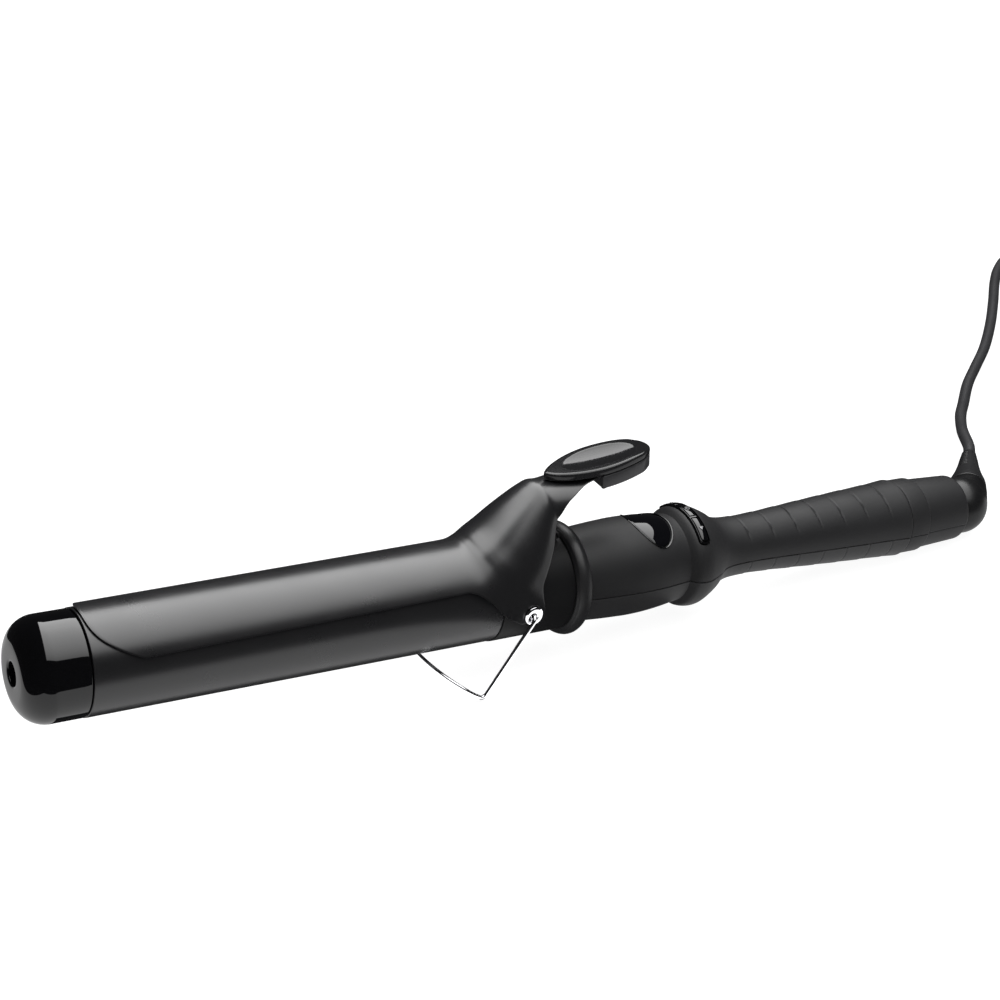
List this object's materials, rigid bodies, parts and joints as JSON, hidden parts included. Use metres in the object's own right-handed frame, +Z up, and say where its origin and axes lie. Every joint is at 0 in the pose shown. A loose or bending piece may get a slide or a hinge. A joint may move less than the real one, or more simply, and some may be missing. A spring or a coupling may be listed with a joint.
{
  "type": "curling iron",
  "caption": "Hair curling iron with a wide heated barrel, spring clamp with thumb lever, display, control buttons, wire kickstand and a swivelling mains cord.",
  "frame": {"origin": "middle of the iron's outline on the surface that it rests on, without the strain relief and cord", "axes": "+X runs along the iron from its tip to its tail, +Z is up, and the near side with the down button faces -Y"},
  "size_m": [0.7103, 0.2529, 0.0804],
  "materials": {
    "barrel_black": "satin black coating",
    "seat_black": "heat-proof satin black plastic",
    "cap_black": "gloss black",
    "bezel_black": "gloss black",
    "shell_black": "soft-touch black",
    "lower_shell_black": "soft-touch black",
    "ring_rubber": "satin black silicone",
    "cord_rubber": "matt black flexible sheath",
    "plug_plastic": "matt black",
    "thumb_plastic": "semi-gloss black",
    "chrome_wire": "bright chrome",
    "steel": "plain steel",
    "aluminium": "extruded",
    "ceramic": "off-white ceramic and sleeving",
    "board": "green laminate",
    "chip": "moulded black",
    "window": "clear lens over black",
    "brass": "plated brass"
  },
  "bodies": {
    "iron": {"barrel_seat": "seat_black", "barrel_tube": "barrel_black", "button_bezel": "bezel_black", "circuit_board": "board", "clamp_spring": "steel", "contact_holder": "board", "contact_ring_line": "brass", "contact_ring_neutral": "brass", "cord_coil": "cord_rubber", "cord_tie": "cord_rubber", "display_driver": "chip", "display_window": "window", "ferrule_ring": "ring_rubber", "heater_block_lower": "aluminium", "heater_block_upper": "aluminium", "heater_lead_far": "ceramic", "heater_lead_near": "ceramic", "lcd_module": "window", "lower_shell": "lower_shell_black", "mains_cord": "cord_rubber", "pivot_rivet_far": "chrome_wire", "pivot_rivet_near": "chrome_wire", "plug_body": "plug_plastic", "plug_cord": "cord_rubber", "plug_pin_line": "brass", "plug_pin_neutral": "brass", "ptc_element": "ceramic", "shell_screw_front": "steel", "shell_screw_middle": "steel", "shell_screw_rear": "steel", "tail_band": "shell_black", "tail_sleeve": "shell_black", "thermal_sensor": "steel", "tip_anchor": "steel", "tip_cap": "cap_black", "tip_screw": "steel", "triac": "chip", "upper_shell": "shell_black"},
    "clamp": {"clamp_blade": "barrel_black", "thumb_plate": "thumb_plastic", "thumb_skirt": "thumb_plastic", "thumb_screw": "steel"},
    "stand": {"kickstand": "chrome_wire"},
    "swivel": {"swivel_elbow": "shell_black", "strain_relief": "cord_rubber"},
    "power_key": {"power_button": "bezel_black"},
    "down_key": {"down_button": "bezel_black"},
    "up_key": {"up_button": "bezel_black"}
  },
  "joints": [
    {"name": "clamp_hinge", "type": "hinge", "parent": "iron", "child": "clamp", "pos_m": [-0.02602, 0, 0.03063], "axis": [0, 1, 0], "range_deg": [0, 18], "stiffness_Nm_per_rad": 0.6, "springref_deg": -28.65, "deforming": ["clamp_spring"]},
    {"name": "kickstand_fold", "type": "hinge", "parent": "iron", "child": "stand", "pos_m": [-0.02602, 0, 0.03063], "axis": [0, -1, 0], "range_deg": [0, 116]},
    {"name": "cord_swivel", "type": "hinge", "parent": "iron", "child": "swivel", "pos_m": [0.19799, 0, 0.01298], "axis": [0.9966, 0, -0.0821], "continuous": true},
    {"name": "power_press", "type": "slide", "parent": "iron", "child": "power_key", "axis": [-0.0821, 0, -0.9966], "range_m": [0, 0.0005], "stiffness_N_per_m": 1200, "springref_m": -0.0005},
    {"name": "down_press", "type": "slide", "parent": "iron", "child": "down_key", "axis": [-0.0704, 0.515, -0.8543], "range_m": [0, 0.0005], "stiffness_N_per_m": 1200, "springref_m": -0.0005},
    {"name": "up_press", "type": "slide", "parent": "iron", "child": "up_key", "axis": [-0.0704, -0.515, -0.8543], "range_m": [0, 0.0005], "stiffness_N_per_m": 1200, "springref_m": -0.0005}
  ]
}
